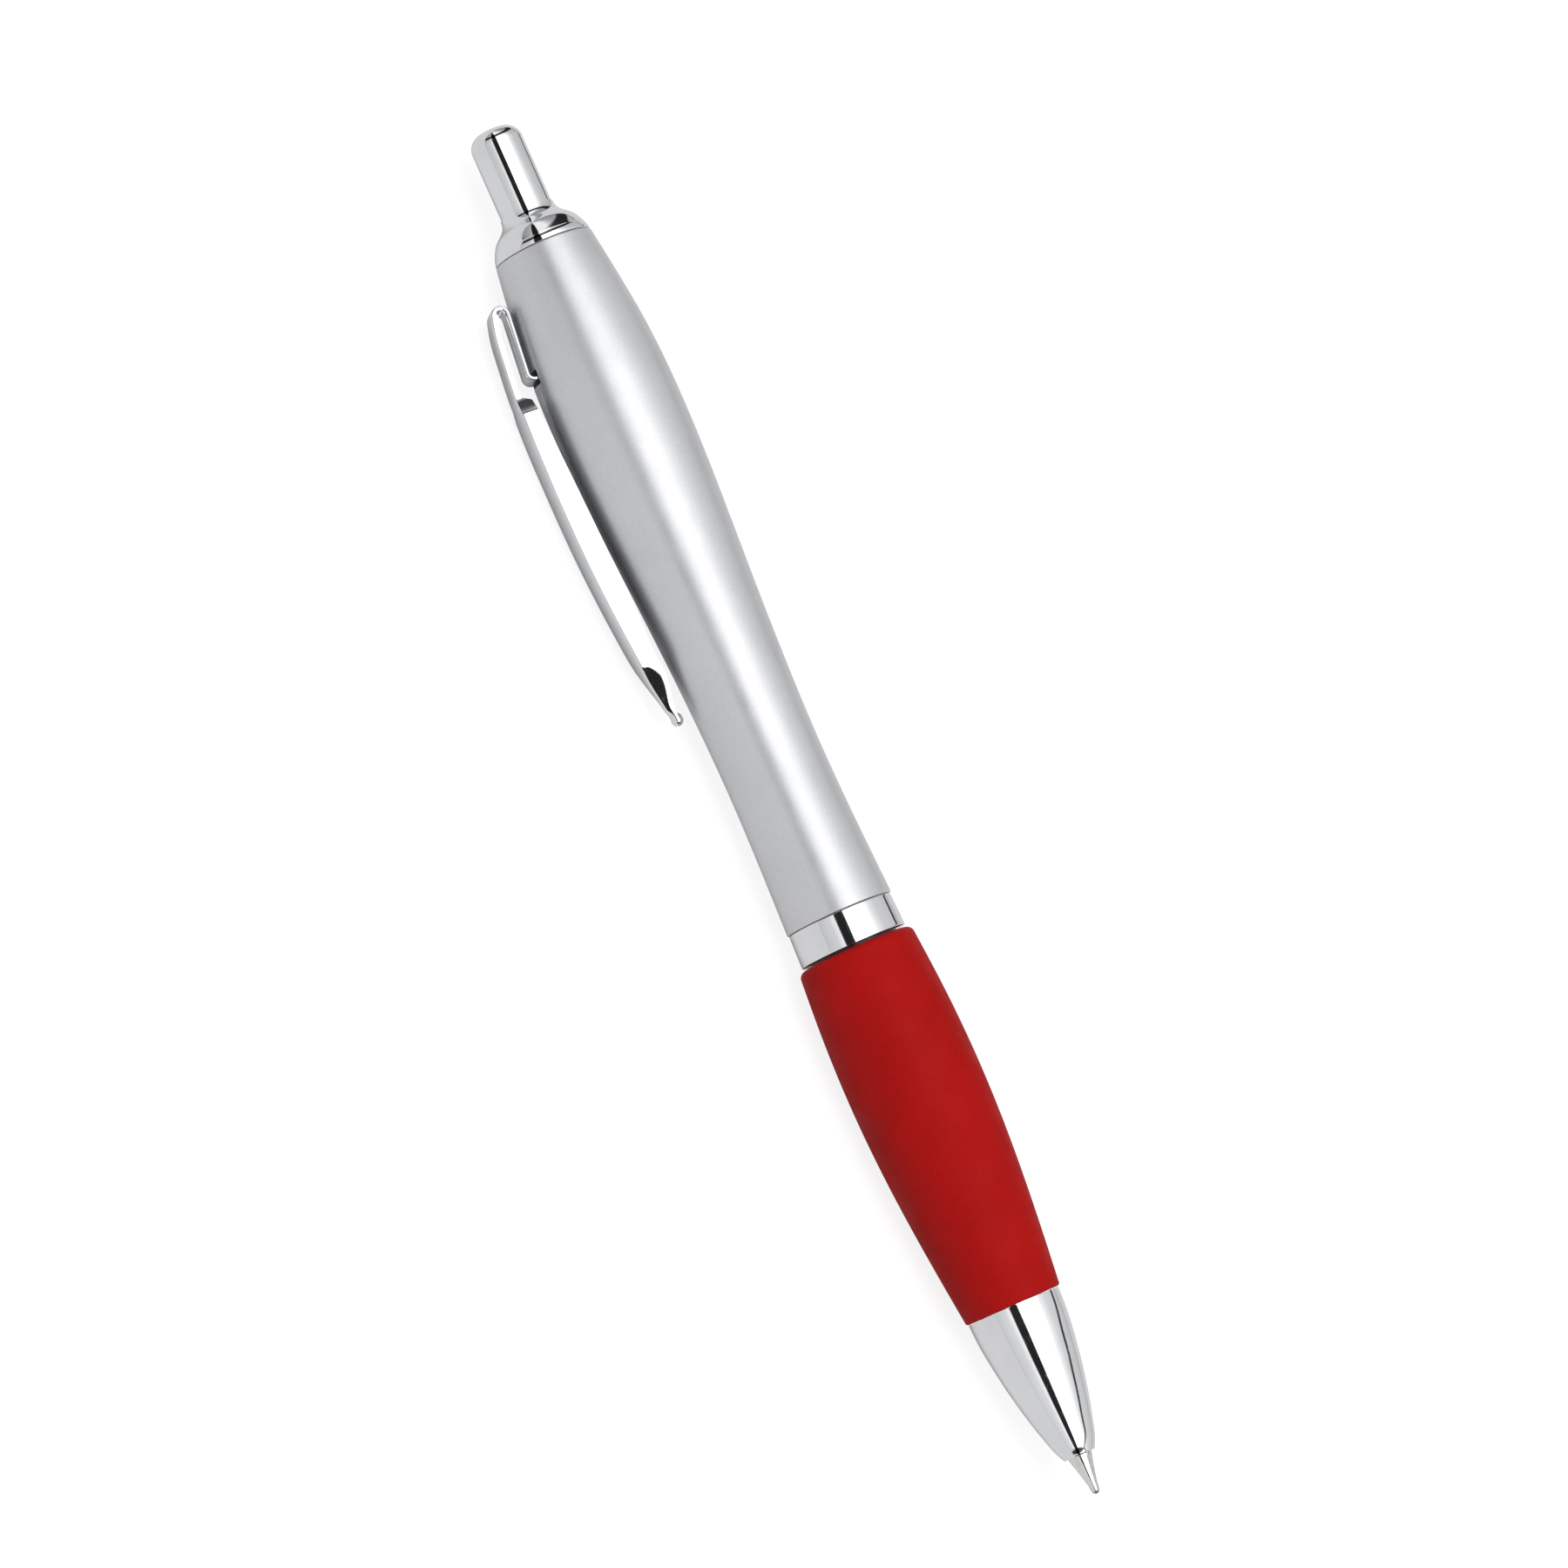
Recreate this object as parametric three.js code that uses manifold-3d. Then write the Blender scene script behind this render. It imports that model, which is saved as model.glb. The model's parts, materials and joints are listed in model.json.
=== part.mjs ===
// A click-action ballpoint pen, lying on a table with its point out.
//
// Each piece is built in the pen's own frame: +X runs along the pen from the push button to the
// point, and the clip is on the +Z side. A place along the pen is a "station", its distance from
// the top of the push button. At the end the whole pen is rolled so that it rests on the grip, the
// barrel and the edge of the clip, as it does on a table. Units are millimetres.
import * as THREE from "three";
import { mergeVertices } from "three/addons/utils/BufferGeometryUtils.js";
import Module from "manifold-3d";

const wasm = await Module();
wasm.setup();

// ---- driving dimensions ----

const LENGTH = 140; // push button to writing ball
const GAP = 0.05; // between pieces that seat against each other

// where one outer piece ends and the next begins
const COLLAR_TOP = 8.5;
const BARREL_TOP = 12.5;
const BARREL_END = 81.2;
const RING_END = 84.6;
const GRIP_END = 121;
const NOSE_MOUTH = 136.1;

// the click mechanism
const BUTTON_END = 15;
const BUTTON_RADIUS = 2.55;
const SLIDER_RADIUS = 2.35; // bodies of the plunger and the cam
const RIB_TOP_RADIUS = 3.05; // ribs of the plunger and the cam
const SLEEVE_BORE = 3.2;
const SLEEVE_RIB_BORE = 2.6;
const SLEEVE_RADIUS = 3.7;
const SLEEVE_TOP = 16.2;
const SLEEVE_END = 32.4;
const MECHANISM_BORE = 3.8; // the barrel's bore round the mechanism
const MECHANISM_END = 32.6;
const RIB_COUNT = 4;
const TOOTH_COUNT = 8;

// the refill
const REFILL_TOP = 30.4;
const TUBE_END = 118;
const TUBE_RADIUS = 1.5;
const TUBE_BORE = 1;
const INK_TOP = 48;
const INK_END = 112.8;
const INK_RADIUS = 0.95;
const POINT_RADIUS = 1.15;
const POINT_STEP = 128; // where the adaptor ends and the point's full width begins
const POINT_SHANK = 0.8; // radius of the part of the point inside the adaptor
const BALL_RADIUS = 0.36;

// the front section
const THREAD_RADIUS = 3.95;
const THREAD_BORE = THREAD_RADIUS + 0.1;
const FRONT_TUBE_TOP = 71;
const FRONT_TUBE_RADIUS = 4.3;
const FRONT_TUBE_BORE = 2.3;
const SOCKET_TOP = 116.4; // the front tube's socket for the nose
const SOCKET_BORE = 3.4;
const SPRING_SEAT = 132.8;

// the clip
const STRIP = 0.4; // thickness of the spring steel
const CURL_STATION = 17.07;
const CURL_HEIGHT = 6.7; // centre of the bend at the clip's top, above the pen's axis
const CURL_RADIUS = 0.95;
const BLADE_TURN = 105; // degrees round the bend where the blade begins
const CURL_SPLIT = 218; // degrees round the bend where the blade ends and the tongue begins
const SLOT_STATION = 23.8; // middle of the slot that the clip's root goes into
const FLANGE_TOP = 25.8;
const NUB_STATION = 58.5; // middle of the rounded nub at the clip's free end
const NUB_HEIGHT = 6.62;
const NUB_RADIUS = 0.6;
const NECK_HALF = 1.6; // half the width of the strip above the leaf, and of its tongue
const CLIP_ROLL = 28.4; // degrees that the clip hangs below level, where it touches the table

const ROUND = 36; // sides of the outer round pieces
const FINE = 28; // sides of the small ones

// ---- helpers ----

// The solid of a closed three.js geometry.
function solidOf(geometry) {
  const bare = geometry.clone();
  bare.deleteAttribute("normal");
  bare.deleteAttribute("uv");
  const merged = mergeVertices(bare, 1e-4);
  const triangles = merged.index.array;
  const faces = [];
  for (let i = 0; i < triangles.length; i += 3) {
    const [a, b, c] = triangles.slice(i, i + 3);
    if (a !== b && b !== c && c !== a) faces.push(a, b, c);
  }
  return new wasm.Manifold(
    new wasm.Mesh({
      numProp: 3,
      vertProperties: new Float32Array(merged.attributes.position.array),
      triVerts: new Uint32Array(faces),
    }),
  );
}

// The three.js geometry of a solid.
function geometryOf(solid) {
  const mesh = solid.getMesh();
  const geometry = new THREE.BufferGeometry();
  geometry.setAttribute("position", new THREE.BufferAttribute(mesh.vertProperties, 3));
  geometry.setIndex(new THREE.BufferAttribute(mesh.triVerts, 1));
  return geometry;
}

// One geometry made of a base with pieces joined on and then others cut away.
function shaped(base, joined = [], removed = []) {
  let solid = solidOf(base);
  for (const piece of joined) solid = solid.add(solidOf(piece));
  for (const piece of removed) solid = solid.subtract(solidOf(piece));
  return geometryOf(solid);
}

// A closed outline of [station, radius] points turned about the pen's axis.
function revolve(outline, sides = FINE) {
  const twiceArea = outline.reduce((sum, [s, r], i) => {
    const [nextS, nextR] = outline[(i + 1) % outline.length];
    return sum + s * nextR - nextS * r;
  }, 0);
  const ordered = twiceArea < 0 ? outline : [...outline].reverse();
  const onAxis = ordered.findIndex(([, r], i) => {
    const before = ordered[(i + ordered.length - 1) % ordered.length];
    return r === 0 && before[1] === 0;
  });
  const open = onAxis >= 0;
  const start = open ? onAxis : 0;
  const points = ordered.map((_, i) => {
    const [s, r] = ordered[(start + i) % ordered.length];
    return new THREE.Vector2(r, s - LENGTH / 2);
  });
  if (!open) points.push(points[0].clone());
  return new THREE.LatheGeometry(points, sides).rotateZ(-Math.PI / 2);
}

// Points on a smooth curve through [station, radius] places.
function smooth(places, steps) {
  const curve = new THREE.SplineCurve(places.map(([s, r]) => new THREE.Vector2(s, r)));
  return curve.getPoints(steps).map((p) => [p.x, p.y]);
}

// Points on a circular arc in [station, radius], angles in degrees from the +station direction.
function arc(centreS, centreR, radius, from, to, steps) {
  return Array.from({ length: steps + 1 }, (_, i) => {
    const angle = THREE.MathUtils.degToRad(from + ((to - from) * i) / steps);
    return [centreS + radius * Math.cos(angle), centreR + radius * Math.sin(angle)];
  });
}

// A plate: an outline of [station, sideways] points, from one height above the axis to another.
function plate(outline, low, high) {
  const shape = new THREE.Shape(outline.map(([s, t]) => new THREE.Vector2(s - LENGTH / 2, t)));
  return new THREE.ExtrudeGeometry(shape, { depth: high - low, bevelEnabled: false, curveSegments: 8 })
    .translate(0, 0, low);
}

// A profile of [station, height] points, as wide as 2 * halfWidth across the pen.
function across(profile, halfWidth) {
  const shape = new THREE.Shape(profile.map(([s, h]) => new THREE.Vector2(s - LENGTH / 2, h)));
  return new THREE.ExtrudeGeometry(shape, { depth: 2 * halfWidth, bevelEnabled: false })
    .rotateX(Math.PI / 2)
    .translate(0, halfWidth, 0);
}

// Copies of a geometry spaced evenly about the pen's axis, the first one turned by offset degrees.
function aboutAxis(geometry, count, offset = 0) {
  return Array.from({ length: count }, (_, i) =>
    geometry.clone().rotateX(THREE.MathUtils.degToRad(offset + (360 / count) * i)),
  );
}

function material(color, roughness, metalness = 0) {
  return new THREE.MeshStandardMaterial({ color, roughness, metalness });
}

const chrome = () => material(0xd8dade, 0.08, 1);
const pen = new THREE.Group();

function addPiece(name, geometry, look) {
  const mesh = new THREE.Mesh(geometry, look);
  mesh.name = name;
  pen.add(mesh);
}

// ---- outer shape ----

const barrelRadius = new THREE.SplineCurve(
  [
    [BARREL_TOP, 4.86], [16.4, 5.4], [22.9, 6.1], [29.4, 6.33], [39.3, 6.05],
    [49.1, 5.5], [58.9, 5.06], [68.7, 4.9], [BARREL_END, 5.28],
  ].map(([s, r]) => new THREE.Vector2(s, r)),
);

// ---- the click mechanism ----

function pushButton() {
  const edge = 1.5; // radius of the rounded top edge
  const capDepth = 1.2;
  const bore = 1.75;
  const flat = 1; // radius of the flat top
  return revolve([
    [BUTTON_END, bore], [capDepth, bore], [capDepth, 0], [0, 0], [0, flat],
    ...arc(edge + 0.06, BUTTON_RADIUS - edge, edge, 178, 90, 6),
    [BUTTON_END, BUTTON_RADIUS],
  ]);
}

// The teeth of a crown that starts at a station and points along direction +1 or -1.
function crownTeeth(station, direction, inner, outer) {
  const height = 0.8;
  const halfWidth = 0.62;
  const root = station - direction * 0.2;
  const tooth = plate(
    [[root, -halfWidth], [root, halfWidth], [station + direction * height, 0]]
      .sort((a, b) => direction * (a[1] - b[1])),
    inner + 0.05,
    outer - 0.12,
  );
  return aboutAxis(tooth, TOOTH_COUNT, 360 / TOOTH_COUNT / 2);
}

const CROWN = 22.7; // the plunger's end, where its teeth begin
const CAM_TOP = 24.55; // the cam's near end, where its teeth begin
const RIB_ROOT = 2.2; // height where the sliding parts' ribs start, inside their bodies

function plunger() {
  const stemTop = 1.4;
  const stem = 1.65; // radius inside the button
  const shoulder = BUTTON_END + 0.2;
  const cupTop = 17.5;
  const cup = 1.4;
  const ribEnd = 22;
  const body = revolve([
    [stemTop, 0], [stemTop, stem], [shoulder, stem], [shoulder, SLIDER_RADIUS],
    [CROWN, SLIDER_RADIUS], [CROWN, cup], [cupTop, cup], [cupTop, 0],
  ]);
  const half = 0.5;
  const rib = plate(
    [[cupTop, -half], [ribEnd, -half], [ribEnd, half], [cupTop, half]],
    RIB_ROOT,
    RIB_TOP_RADIUS,
  );
  return shaped(body, [
    ...aboutAxis(rib, RIB_COUNT, 45),
    ...crownTeeth(CROWN, 1, cup, SLIDER_RADIUS),
  ]);
}

// The sleeve's ribs end in a slant, and the cam's ribs start in the same slant just past it. The
// slant is steeper than the path along which the cam turns and withdraws, so the two stay clear.
const SLANT = 2.7; // station per sideways millimetre
const SLEEVE_RIB_END = 27.2;
const SLEEVE_RIB_HALF = 0.6;
const CAM_RIB_HALF = 0.4;
const LATCH_GAP = 0.3;
const slantAt = (sideways) => SLEEVE_RIB_END - SLANT * (sideways + SLEEVE_RIB_HALF);

function camSleeve() {
  const wall = revolve([
    [SLEEVE_TOP, SLEEVE_BORE], [SLEEVE_END, SLEEVE_BORE],
    [SLEEVE_END, SLEEVE_RADIUS], [SLEEVE_TOP, SLEEVE_RADIUS],
  ]);
  const ribTop = SLEEVE_TOP + 0.2;
  const rib = plate(
    [
      [ribTop, -SLEEVE_RIB_HALF], [slantAt(-SLEEVE_RIB_HALF), -SLEEVE_RIB_HALF],
      [slantAt(SLEEVE_RIB_HALF), SLEEVE_RIB_HALF], [ribTop, SLEEVE_RIB_HALF],
    ],
    SLEEVE_RIB_BORE,
    SLEEVE_BORE + 0.2,
  );
  return shaped(wall, aboutAxis(rib, RIB_COUNT));
}

function rotaryCam() {
  const end = 33.4;
  const ribEnd = 31;
  const socket = TUBE_RADIUS + 0.1; // takes the end of the refill
  const socketTop = REFILL_TOP - 0.1;
  const body = revolve([
    [CAM_TOP, 0], [CAM_TOP, SLIDER_RADIUS], [end, SLIDER_RADIUS], [end, socket],
    [socketTop, socket], [socketTop, 0],
  ]);
  const rib = plate(
    [
      [slantAt(-CAM_RIB_HALF) + LATCH_GAP, -CAM_RIB_HALF], [ribEnd, -CAM_RIB_HALF],
      [ribEnd, CAM_RIB_HALF], [slantAt(CAM_RIB_HALF) + LATCH_GAP, CAM_RIB_HALF],
    ],
    RIB_ROOT,
    RIB_TOP_RADIUS,
  );
  return shaped(body, [
    ...aboutAxis(rib, RIB_COUNT),
    ...crownTeeth(CAM_TOP, -1, 1.2, SLIDER_RADIUS),
  ]);
}

// ---- casing ----

function topCollar() {
  const end = BARREL_TOP - GAP;
  const skirtEnd = SLEEVE_TOP - 0.1;
  const skirt = MECHANISM_BORE - GAP;
  const step = 11.6; // inside, where the button's bore widens
  const buttonBore = BUTTON_RADIUS + 0.06;
  const bell = smooth(
    [[COLLAR_TOP, 2.7], [9, 2.85], [9.5, 3.25], [10, 3.8], [11, 4.45], [end, 4.82]],
    10,
  );
  return revolve(
    [
      ...bell,
      [end, skirt], [skirtEnd, skirt], [skirtEnd, SLEEVE_BORE], [step, SLEEVE_BORE],
      [step, buttonBore], [COLLAR_TOP, buttonBore],
    ],
    ROUND,
  );
}

function upperBarrel() {
  const outer = barrelRadius.getPoints(18).map((p) => [p.x, p.y]);
  const web = 2.75; // radius of the narrow bore that guides the refill
  const webEnd = 35;
  const tube = revolve(
    [
      ...outer,
      [BARREL_END, THREAD_BORE], [webEnd + 1, THREAD_BORE], [webEnd, web], [MECHANISM_END, web],
      [MECHANISM_END, MECHANISM_BORE], [BARREL_TOP, MECHANISM_BORE],
    ],
    ROUND,
  );
  const [slotTop, slotEnd] = [SLOT_STATION - 0.7, SLOT_STATION + 0.7];
  const [inside, outside] = [3, 8];
  const slot = across(
    [[slotTop, inside], [slotEnd, inside], [slotEnd, outside], [slotTop, outside]],
    NECK_HALF + 0.3,
  );
  return shaped(tube, [], [slot]);
}

function middleRing() {
  const [top, end] = [BARREL_END + GAP, RING_END - GAP];
  const outer = smooth([[top, 5.1], [(top + end) / 2, 5.19], [end, 5.28]], 3);
  return revolve([...outer, [end, THREAD_BORE], [top, THREAD_BORE]], ROUND);
}

function frontTube() {
  const end = GRIP_END - 0.15;
  const chamfer = 0.4;
  return revolve(
    [
      [FRONT_TUBE_TOP, FRONT_TUBE_BORE], [FRONT_TUBE_TOP, THREAD_RADIUS - chamfer],
      [FRONT_TUBE_TOP + chamfer, THREAD_RADIUS], [RING_END, THREAD_RADIUS],
      [RING_END, FRONT_TUBE_RADIUS], [end, FRONT_TUBE_RADIUS], [end, SOCKET_BORE],
      [SOCKET_TOP, SOCKET_BORE], [SOCKET_TOP, FRONT_TUBE_BORE],
    ],
    ROUND,
  );
}

function gripSleeve() {
  const shoulder = 0.7; // radius of the rounded top edge
  const shoulderRadius = 5.79;
  const top = RING_END + 0.2;
  const side = smooth(
    [
      [top + shoulder, shoulderRadius], [90, 6.11], [98, 6.35], [106.3, 6.1], [112.9, 5.6],
      [118.5, 5.03], [GRIP_END, 4.74],
    ],
    12,
  );
  const bore = FRONT_TUBE_RADIUS + 0.07;
  return revolve(
    [
      [top, bore],
      ...arc(top + shoulder, shoulderRadius - shoulder, shoulder, 180, 100, 4),
      ...side,
      [GRIP_END, bore],
    ],
    ROUND,
  );
}

function noseCone() {
  const top = GRIP_END + GAP;
  const plugTop = SOCKET_TOP + 0.3;
  const plug = SOCKET_BORE - 0.1;
  const springBore = 1.8;
  const mouthBore = POINT_RADIUS + 0.12;
  const mouthRim = 1.42;
  const outer = smooth(
    [
      [top, 4.58], [123, 4.47], [125.9, 4.12], [129.2, 3.56], [132.5, 2.78], [135, 2],
      [NOSE_MOUTH - 0.2, mouthRim + 0.1],
    ],
    12,
  );
  return revolve(
    [
      [plugTop, plug], [top, plug],
      ...outer,
      [NOSE_MOUTH, mouthRim], [NOSE_MOUTH, mouthBore], [SPRING_SEAT, mouthBore],
      [SPRING_SEAT, springBore], [plugTop, springBore],
    ],
    ROUND,
  );
}

// ---- the refill ----

function refillTube() {
  return revolve([
    [REFILL_TOP, TUBE_BORE], [TUBE_END, TUBE_BORE], [TUBE_END, TUBE_RADIUS], [REFILL_TOP, TUBE_RADIUS],
  ]);
}

function inkColumn() {
  return revolve([[INK_TOP, 0], [INK_END, 0], [INK_END, INK_RADIUS], [INK_TOP, INK_RADIUS]]);
}

// The plug of clear grease that follows the ink down, with a slanted rim where it wets the tube.
function inkFollower() {
  const top = INK_TOP - 5;
  const end = INK_TOP - GAP;
  return revolve([[top, 0], [end, 0], [end, INK_RADIUS], [top + 0.6, INK_RADIUS]]);
}

function pointAdaptor() {
  const plugTop = INK_END + 0.2;
  const plug = TUBE_BORE - 0.04;
  const collar = TUBE_END + GAP;
  const feed = 0.5; // radius of the ink's way through
  const seatTop = 124;
  const seat = POINT_SHANK + 0.05;
  return revolve([
    [plugTop, feed], [seatTop, feed], [seatTop, seat], [POINT_STEP, seat],
    [POINT_STEP, POINT_RADIUS], [collar, POINT_RADIUS], [collar, plug], [plugTop, plug],
  ]);
}

function pointTip() {
  const ballCentre = LENGTH - BALL_RADIUS;
  const socket = BALL_RADIUS + 0.03;
  const top = 124.1;
  const feed = 0.3;
  const step = POINT_STEP + GAP;
  const coneTop = 136.6;
  const coneEnd = 139.1;
  return revolve([
    [top, feed], [top, POINT_SHANK], [step, POINT_SHANK], [step, POINT_RADIUS],
    [coneTop, POINT_RADIUS], [coneEnd, 0.47], [ballCentre + 0.08, 0.43],
    ...arc(ballCentre, 0, socket, 78, 140, 5),
  ]);
}

const writingBall = () =>
  new THREE.SphereGeometry(BALL_RADIUS, 14, 10).translate(LENGTH / 2 - BALL_RADIUS, 0, 0);

function returnSpring() {
  const wire = 0.18;
  const mean = 1.42;
  const turns = 7;
  const stepsPerTurn = 12;
  const first = TUBE_END + GAP + wire;
  const last = SPRING_SEAT - GAP - wire;
  const points = [];
  for (let i = 0; i <= turns * stepsPerTurn; i += 1) {
    const share = i / (turns * stepsPerTurn);
    const angle = 2 * Math.PI * turns * share;
    points.push(new THREE.Vector3(
      first + (last - first) * share - LENGTH / 2,
      mean * Math.cos(angle),
      mean * Math.sin(angle),
    ));
  }
  const section = new THREE.Shape();
  section.absarc(0, 0, wire, 0, 2 * Math.PI);
  return new THREE.ExtrudeGeometry(section, {
    steps: turns * stepsPerTurn,
    curveSegments: 3,
    bevelEnabled: false,
    extrudePath: new THREE.CatmullRomCurve3(points),
  });
}

// ---- the clip ----

// Height of the blade's outer face above the pen's axis.
const bladeStart = arc(CURL_STATION, CURL_HEIGHT, CURL_RADIUS, BLADE_TURN, BLADE_TURN, 1)[0];
const bladeCurve = new THREE.SplineCurve(
  [
    bladeStart, [18.5, 8.02], [20.5, 8.29], [24.8, 8.72], [33, 9], [41.2, 8.91],
    [49.5, 8.46], [53.5, 8], [NUB_STATION, NUB_HEIGHT + 0.5],
  ].map(([s, h]) => new THREE.Vector2(s, h)),
);

function clipBlade() {
  const outer = bladeCurve.getPoints(26).map((p) => [p.x, p.y]);
  const lowered = (depth) => outer.map(([s, h]) => [s, h - depth]).reverse();
  const face = across([...outer, ...lowered(STRIP)], 3);
  // the leaf outline: a narrow neck, a wide middle and a pointed end
  const leafSide = [
    [bladeStart[0], NECK_HALF], [FLANGE_TOP - 0.3, NECK_HALF + 0.05], [FLANGE_TOP + 0.4, 2.15],
    [32, 2.35], [38, 2.35], [46, 2.15], [52.9, 1.95], [57.8, 0.35], [NUB_STATION, 0.35],
  ];
  const mirrored = leafSide.map(([s, t]) => [s, -t]).reverse();
  const leaf = plate([...mirrored, ...leafSide].reverse(), 4, 10);
  const inset = leafSide.map(([s, t]) => [s, t - STRIP]).filter(([, t]) => t > 0.1);
  const insetLeaf = plate([...inset.map(([s, t]) => [s, -t]).reverse(), ...inset].reverse(), 3, 11);
  // the side walls reach down past the barrel's silhouette and fade out at both ends
  const wallEdge = smooth(
    [
      [FLANGE_TOP, 7.35], [29.4, 7.18], [34.4, 6.97], [41.3, 6.7], [49.2, 6.5], [52.5, 6.48],
      [54.8, 6.14], [56.3, 6.3], [NUB_STATION, NUB_HEIGHT],
    ],
    12,
  );
  const wallTop = outer.filter(([s]) => s > FLANGE_TOP + 0.2).map(([s, h]) => [s, h - STRIP / 2]);
  const walls = across([...wallTop.reverse(), ...wallEdge].reverse(), 3);
  const plan = solidOf(leaf);
  const channel = solidOf(walls).subtract(solidOf(insetLeaf)).intersect(plan);
  const skin = solidOf(face).intersect(plan);
  const curl = [
    ...arc(CURL_STATION, CURL_HEIGHT, CURL_RADIUS, BLADE_TURN - 8, CURL_SPLIT - 6, 9),
    ...arc(CURL_STATION, CURL_HEIGHT, CURL_RADIUS - STRIP, CURL_SPLIT - 6, BLADE_TURN - 8, 9),
  ];
  const nub = new THREE.SphereGeometry(NUB_RADIUS, 12, 8)
    .translate(NUB_STATION - LENGTH / 2, 0, NUB_HEIGHT);
  return geometryOf(skin.add(channel).add(solidOf(across(curl, NECK_HALF))).add(solidOf(nub)));
}

// The lower half of the bend, a straight strip just clear of the barrel, and the root in its slot.
function clipTongue() {
  const rise = 0.104; // per millimetre along the pen
  const under = (station) => CURL_HEIGHT - CURL_RADIUS + rise * (station - CURL_STATION);
  const root = SLOT_STATION - STRIP / 2;
  const rootDepth = 4.2; // height of the tongue's end, inside the barrel's wall
  const bend = 0.35;
  const profile = [
    ...arc(CURL_STATION, CURL_HEIGHT, CURL_RADIUS, CURL_SPLIT + 6, 270, 4),
    [root - bend, under(root)],
    [root, under(root) - bend],
    [root, rootDepth],
    [root + STRIP, rootDepth],
    [root + STRIP, under(root)],
    [root, under(root) + STRIP],
    ...arc(CURL_STATION, CURL_HEIGHT, CURL_RADIUS - STRIP, 270, CURL_SPLIT + 6, 4),
  ];
  return across(profile, NECK_HALF);
}

// ---- assembly ----

addPiece("push_button", pushButton(), chrome());
addPiece("plunger", plunger(), material(0xf0f0ec, 0.5));
addPiece("rotary_cam", rotaryCam(), material(0xf0f0ec, 0.5));
addPiece("cam_sleeve", camSleeve(), material(0xe6e6e2, 0.5));
addPiece("top_collar", topCollar(), chrome());
addPiece("upper_barrel", upperBarrel(), material(0xb4b7bb, 0.35, 0.7));
addPiece("clip_tongue", clipTongue(), chrome());
addPiece("clip_blade", clipBlade(), chrome());
addPiece("middle_ring", middleRing(), chrome());
addPiece("front_tube", frontTube(), material(0x2a2a2c, 0.5));
addPiece("grip_sleeve", gripSleeve(), material(0xa5181a, 0.75));
addPiece("nose_cone", noseCone(), chrome());
addPiece("return_spring", returnSpring(), material(0xc4c6c8, 0.25, 1));
addPiece("refill_tube", refillTube(), material(0xe8ecef, 0.4));
addPiece("ink_column", inkColumn(), material(0x14246e, 0.3));
addPiece("ink_follower", inkFollower(), material(0xe6dfc0, 0.3));
addPiece("point_adaptor", pointAdaptor(), material(0xc2a25a, 0.3, 1));
addPiece("point_tip", pointTip(), material(0xc9c6ba, 0.2, 1));
addPiece("writing_ball", writingBall(), material(0x8e9094, 0.2, 1));

// Roll the clip round to its resting side, then set the pen down with its box centred on the origin.
const table = new THREE.Group();
table.add(pen);
pen.rotation.x = THREE.MathUtils.degToRad(90 + CLIP_ROLL);
table.updateMatrixWorld(true);
const box = new THREE.Box3().setFromObject(table, true);
pen.position.set(0, -(box.min.y + box.max.y) / 2, -box.min.z);

export default table;
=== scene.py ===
"""The looks of a click-action ballpoint pen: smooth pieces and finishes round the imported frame.

Every piece is built in the pen's own frame, in millimetres: x runs from the push button to the
point, y is sideways and z points out to the clip. What shows is stated as shares of the length
and of the largest radius of the node it stands for, so it follows the frame if that changes.
Hidden bores and small edges are stated in millimetres.
"""

import json
from math import atan2, cos, hypot, pi, radians, sin, tan

import bmesh
import bpy
import numpy as np
from mathutils import Matrix, Vector


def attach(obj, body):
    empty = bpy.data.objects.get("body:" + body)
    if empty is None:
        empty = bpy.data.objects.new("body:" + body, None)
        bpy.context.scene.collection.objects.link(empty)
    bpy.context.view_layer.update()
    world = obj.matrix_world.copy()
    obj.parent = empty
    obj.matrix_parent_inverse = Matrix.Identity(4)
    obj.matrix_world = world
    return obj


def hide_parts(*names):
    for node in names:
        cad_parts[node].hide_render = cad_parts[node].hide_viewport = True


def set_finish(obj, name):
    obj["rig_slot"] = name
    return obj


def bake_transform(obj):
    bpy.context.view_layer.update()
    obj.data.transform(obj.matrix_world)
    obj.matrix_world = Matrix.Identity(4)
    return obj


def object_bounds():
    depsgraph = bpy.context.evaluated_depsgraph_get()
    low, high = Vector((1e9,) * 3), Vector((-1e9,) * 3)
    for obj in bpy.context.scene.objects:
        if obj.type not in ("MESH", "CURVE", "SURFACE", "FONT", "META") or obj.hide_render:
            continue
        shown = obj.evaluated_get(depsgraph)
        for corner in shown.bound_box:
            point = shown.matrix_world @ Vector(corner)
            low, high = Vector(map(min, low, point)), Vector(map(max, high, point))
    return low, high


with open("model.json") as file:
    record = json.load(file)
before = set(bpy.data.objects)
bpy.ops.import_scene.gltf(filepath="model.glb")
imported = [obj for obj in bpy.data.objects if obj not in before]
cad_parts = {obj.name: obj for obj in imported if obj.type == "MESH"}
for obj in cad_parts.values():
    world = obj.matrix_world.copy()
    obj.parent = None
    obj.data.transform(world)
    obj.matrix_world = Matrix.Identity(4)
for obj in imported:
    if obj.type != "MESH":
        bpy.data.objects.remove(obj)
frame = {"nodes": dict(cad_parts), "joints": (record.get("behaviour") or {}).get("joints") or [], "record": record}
cad_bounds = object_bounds()

MM = 0.001
joints = {joint["name"]: joint for joint in frame["joints"]}
slots = {part["node"]: part["material_slot"] for part in frame["record"]["subparts"]}
body_of = {
    node: body
    for body, members in frame["record"]["behaviour"]["bodies"].items()
    for node in members
}

# ---- the pen's frame ----

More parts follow.
